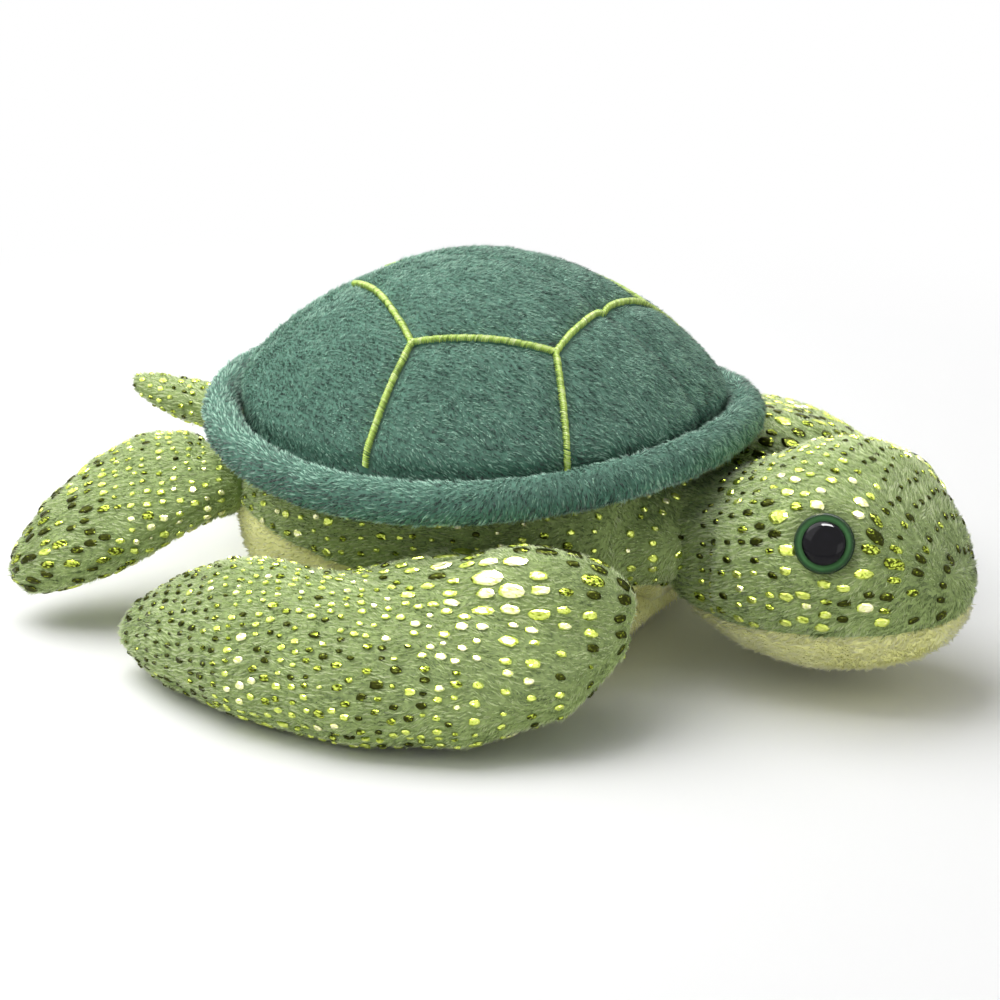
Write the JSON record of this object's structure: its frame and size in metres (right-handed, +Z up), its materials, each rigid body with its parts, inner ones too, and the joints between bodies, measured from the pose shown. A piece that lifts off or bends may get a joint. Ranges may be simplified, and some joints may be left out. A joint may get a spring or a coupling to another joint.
{
  "type": "plush turtle",
  "caption": "Stuffed plush sea turtle with a padded domed shell, rolled rim, embroidered shell lines, safety eyes, sewn flippers and a tail.",
  "frame": {"origin": "middle of the belly's flat underside, below the middle of the shell", "axes": "+X to the nose, +Y to the turtle's left, +Z up"},
  "size_m": [0.1994, 0.1703, 0.0805],
  "materials": {
    "teal_plush": "short pile, matt",
    "foil_plush": "short pile with printed foil dots",
    "yellow_plush": "short pile, matt",
    "lime_thread": "satin embroidery thread",
    "fibre_fill": "loose fibre",
    "lining_fabric": "woven, matt",
    "green_iris": "gloss",
    "black_pupil": "gloss",
    "clear_lens": "clear, gloss",
    "white_nylon": "natural"
  },
  "bodies": {
    "torso": {"body_side_panel": "foil_plush", "belly_panel": "yellow_plush", "torso_stuffing": "fibre_fill", "shell_panel_left": "teal_plush", "shell_panel_right": "teal_plush", "shell_stuffing": "fibre_fill", "shell_lining": "lining_fabric", "shell_rim": "teal_plush", "shell_embroidery_left": "lime_thread", "shell_embroidery_right": "lime_thread"},
    "neck": {"neck_upper_panel": "foil_plush", "neck_lower_panel": "yellow_plush", "neck_stuffing": "fibre_fill"},
    "head": {"head_crown_panel": "foil_plush", "head_chin_panel": "yellow_plush", "head_stuffing": "fibre_fill", "eye_iris_left": "green_iris", "eye_pupil_left": "black_pupil", "eye_lens_left": "clear_lens", "eye_washer_left": "white_nylon", "eye_iris_right": "green_iris", "eye_pupil_right": "black_pupil", "eye_lens_right": "clear_lens", "eye_washer_right": "white_nylon"},
    "front_flipper_left": {"front_flipper_upper_panel_left": "foil_plush", "front_flipper_lower_panel_left": "foil_plush", "front_flipper_stuffing_left": "fibre_fill"},
    "front_flipper_right": {"front_flipper_upper_panel_right": "foil_plush", "front_flipper_lower_panel_right": "foil_plush", "front_flipper_stuffing_right": "fibre_fill"},
    "rear_flipper_left": {"rear_flipper_upper_panel_left": "foil_plush", "rear_flipper_lower_panel_left": "foil_plush", "rear_flipper_stuffing_left": "fibre_fill"},
    "rear_flipper_right": {"rear_flipper_upper_panel_right": "foil_plush", "rear_flipper_lower_panel_right": "foil_plush", "rear_flipper_stuffing_right": "fibre_fill"},
    "tail": {"tail_upper_panel": "foil_plush", "tail_lower_panel": "foil_plush", "tail_stuffing": "fibre_fill"}
  },
  "joints": [
    {"name": "neck_nod", "type": "hinge", "parent": "torso", "child": "neck", "pos_m": [0.052, 0, 0.026], "axis": [0, 1, 0], "range_deg": [-6, 6], "stiffness_Nm_per_rad": 0.3},
    {"name": "head_turn", "type": "hinge", "parent": "neck", "child": "head", "pos_m": [0.0618, 0, 0.026], "axis": [0, 0, 1], "range_deg": [-20, 20], "stiffness_Nm_per_rad": 0.2},
    {"name": "front_flipper_left_lift", "type": "hinge", "parent": "torso", "child": "front_flipper_left", "pos_m": [0.03124, 0.0397, 0.024], "axis": [0.8657, -0.5005, 0], "range_deg": [-18, 7], "stiffness_Nm_per_rad": 0.12},
    {"name": "front_flipper_right_lift", "type": "hinge", "parent": "torso", "child": "front_flipper_right", "pos_m": [0.01911, -0.045, 0.024], "axis": [-0.9546, -0.2978, 0], "range_deg": [-18, 34], "stiffness_Nm_per_rad": 0.12},
    {"name": "rear_flipper_left_lift", "type": "hinge", "parent": "torso", "child": "rear_flipper_left", "pos_m": [-0.04737, 0.02537, 0.03], "axis": [0.5891, 0.8081, 0], "range_deg": [-20, 15], "stiffness_Nm_per_rad": 0.05},
    {"name": "rear_flipper_right_lift", "type": "hinge", "parent": "torso", "child": "rear_flipper_right", "pos_m": [-0.04737, -0.02537, 0.03], "axis": [-0.5891, 0.8081, 0], "range_deg": [-20, 15], "stiffness_Nm_per_rad": 0.05},
    {"name": "tail_lift", "type": "hinge", "parent": "torso", "child": "tail", "pos_m": [-0.05458, 0, 0.036], "axis": [0, 1, 0], "range_deg": [-15, 18], "stiffness_Nm_per_rad": 0.02}
  ]
}
